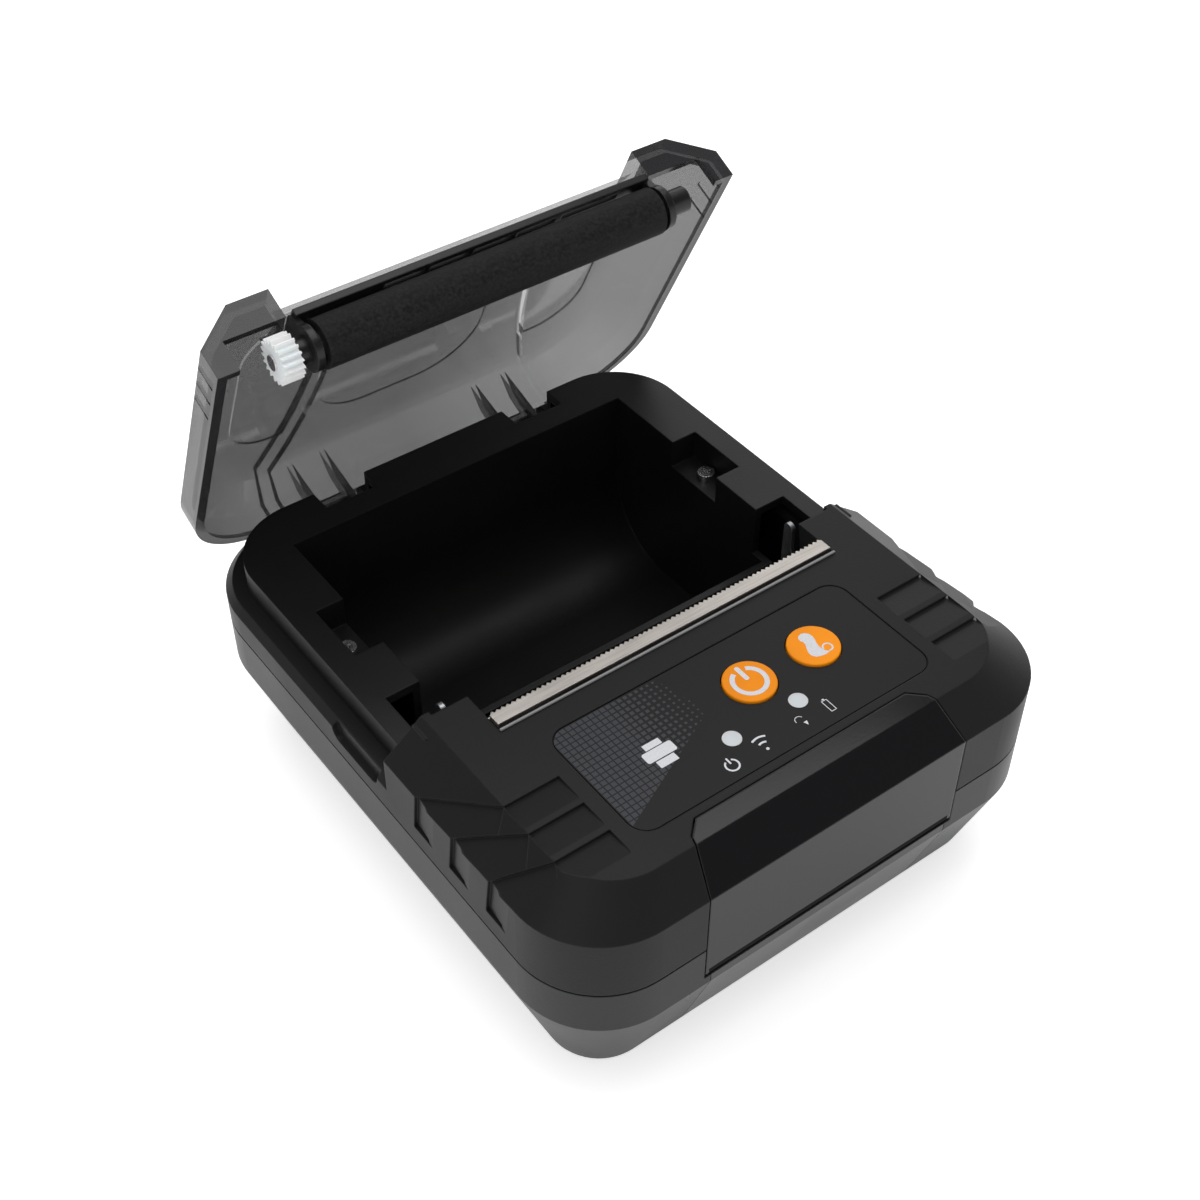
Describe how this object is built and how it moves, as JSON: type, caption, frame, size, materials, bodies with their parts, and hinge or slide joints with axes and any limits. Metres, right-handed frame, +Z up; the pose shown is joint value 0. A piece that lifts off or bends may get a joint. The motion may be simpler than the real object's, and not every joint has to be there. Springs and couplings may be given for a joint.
{
  "type": "portable label printer",
  "caption": "Hand-held thermal label printer: black tray and cover, deep roll well, steel tear bar, orange keys, and a raised smoked lid that carries the platen roller.",
  "frame": {"origin": "centre of the flat underside of the lower housing, on the table it stands on", "axes": "+X to the right seen from the front, front towards -Y, +Z up; the lid is open in the rest pose"},
  "size_m": [0.114, 0.1474, 0.108],
  "materials": {
    "black_shell": "fine satin black",
    "black_satin": "satin black",
    "black_panel": "semi-gloss black",
    "graphite_base": "satin graphite",
    "black_part": "matte black",
    "label_film": "printed film, satin",
    "orange_key": "satin orange with a pale printed sign",
    "lamp_lens": "milky white",
    "tear_steel": "brushed",
    "smoked_plastic": "clear smoked polycarbonate",
    "platen_rubber": "ground matte rubber",
    "bright_steel": "bright",
    "white_gear": "white moulded plastic",
    "zinc_sheet": "zinc plated",
    "head_ceramic": "glazed",
    "head_aluminium": "satin",
    "brass_part": "bright",
    "board_green": "green solder mask",
    "battery_wrap": "blue shrink wrap"
  },
  "bodies": {
    "body": {"upper_housing": "black_shell", "lower_housing": "graphite_base", "paper_tub": "black_satin", "front_panel": "black_panel", "label_film": "label_film", "left_lamp_lens": "lamp_lens", "right_lamp_lens": "lamp_lens", "tear_bar": "tear_steel", "hinge_pins": "bright_steel", "lid_springs": "bright_steel", "housing_screws": "bright_steel", "tub_screws": "bright_steel", "board_screws": "bright_steel", "key_board_screws": "bright_steel", "frame_screws": "bright_steel", "mechanism_frame": "zinc_sheet", "head_pivot_rod": "bright_steel", "head_springs": "bright_steel", "paper_guide": "black_part", "paper_sensor": "black_part", "gear_studs": "bright_steel", "stepper_motor": "zinc_sheet", "main_board": "board_green", "radio_module": "zinc_sheet", "charging_socket": "bright_steel", "key_board": "board_green", "key_switches": "black_part", "battery_pack": "battery_wrap", "contact_block": "black_part", "battery_contacts": "brass_part"},
    "lid": {"lid_shell": "smoked_plastic", "platen_carrier": "black_part", "platen_bushings": "black_part", "carrier_screws": "bright_steel"},
    "platen": {"platen_shaft": "bright_steel", "platen_rubber": "platen_rubber", "platen_gear": "white_gear"},
    "power_button": {"power_key": "orange_key"},
    "feed_button": {"feed_key": "orange_key"},
    "head": {"print_head": "head_ceramic", "head_heatsink": "head_aluminium"},
    "door": {"battery_door": "graphite_base"},
    "idler": {"idler_gear": "white_gear"},
    "reduction": {"reduction_gear": "white_gear"},
    "rotor": {"motor_shaft": "bright_steel", "motor_pinion": "brass_part"}
  },
  "joints": [
    {"name": "lid_hinge", "type": "hinge", "parent": "body", "child": "lid", "pos_m": [0, 0.06425, 0.0355], "axis": [1, 0, 0], "range_deg": [0, 64], "stiffness_Nm_per_rad": 0.02, "springref_deg": -85.94},
    {"name": "platen_spin", "type": "hinge", "parent": "lid", "child": "platen", "pos_m": [0, 0.03639, 0.10107], "axis": [1, 0, 0], "continuous": true},
    {"name": "power_key_press", "type": "slide", "parent": "body", "child": "power_button", "axis": [0, 0, -1], "range_m": [0, 0.0005], "stiffness_N_per_m": 800},
    {"name": "feed_key_press", "type": "slide", "parent": "body", "child": "feed_button", "axis": [0, 0, -1], "range_m": [0, 0.0005], "stiffness_N_per_m": 800},
    {"name": "head_pivot", "type": "hinge", "parent": "body", "child": "head", "pos_m": [0, -0.01388, 0.026], "axis": [1, 0, 0], "range_deg": [0, 2], "stiffness_Nm_per_rad": 2, "deforming": ["head_springs"]},
    {"name": "battery_door_slide", "type": "slide", "parent": "body", "child": "door", "axis": [0, -1, 0], "range_m": [0, 0.006]},
    {"name": "reduction_spin", "type": "hinge", "parent": "body", "child": "reduction", "pos_m": [0, -0.01167, 0.02479], "axis": [1, 0, 0], "continuous": true},
    {"name": "motor_spin", "type": "hinge", "parent": "body", "child": "rotor", "pos_m": [0, -0.01337, 0.0152], "axis": [1, 0, 0], "continuous": true},
    {"name": "idler_spin", "type": "hinge", "parent": "body", "child": "idler", "pos_m": [0, -0.01458, 0.03276], "axis": [1, 0, 0], "continuous": true}
  ],
  "couplings": [
    {"joint": "motor_spin", "follows": "reduction_spin", "ratio": -2.2857},
    {"joint": "idler_spin", "follows": "reduction_spin", "ratio": -0.66667}
  ]
}
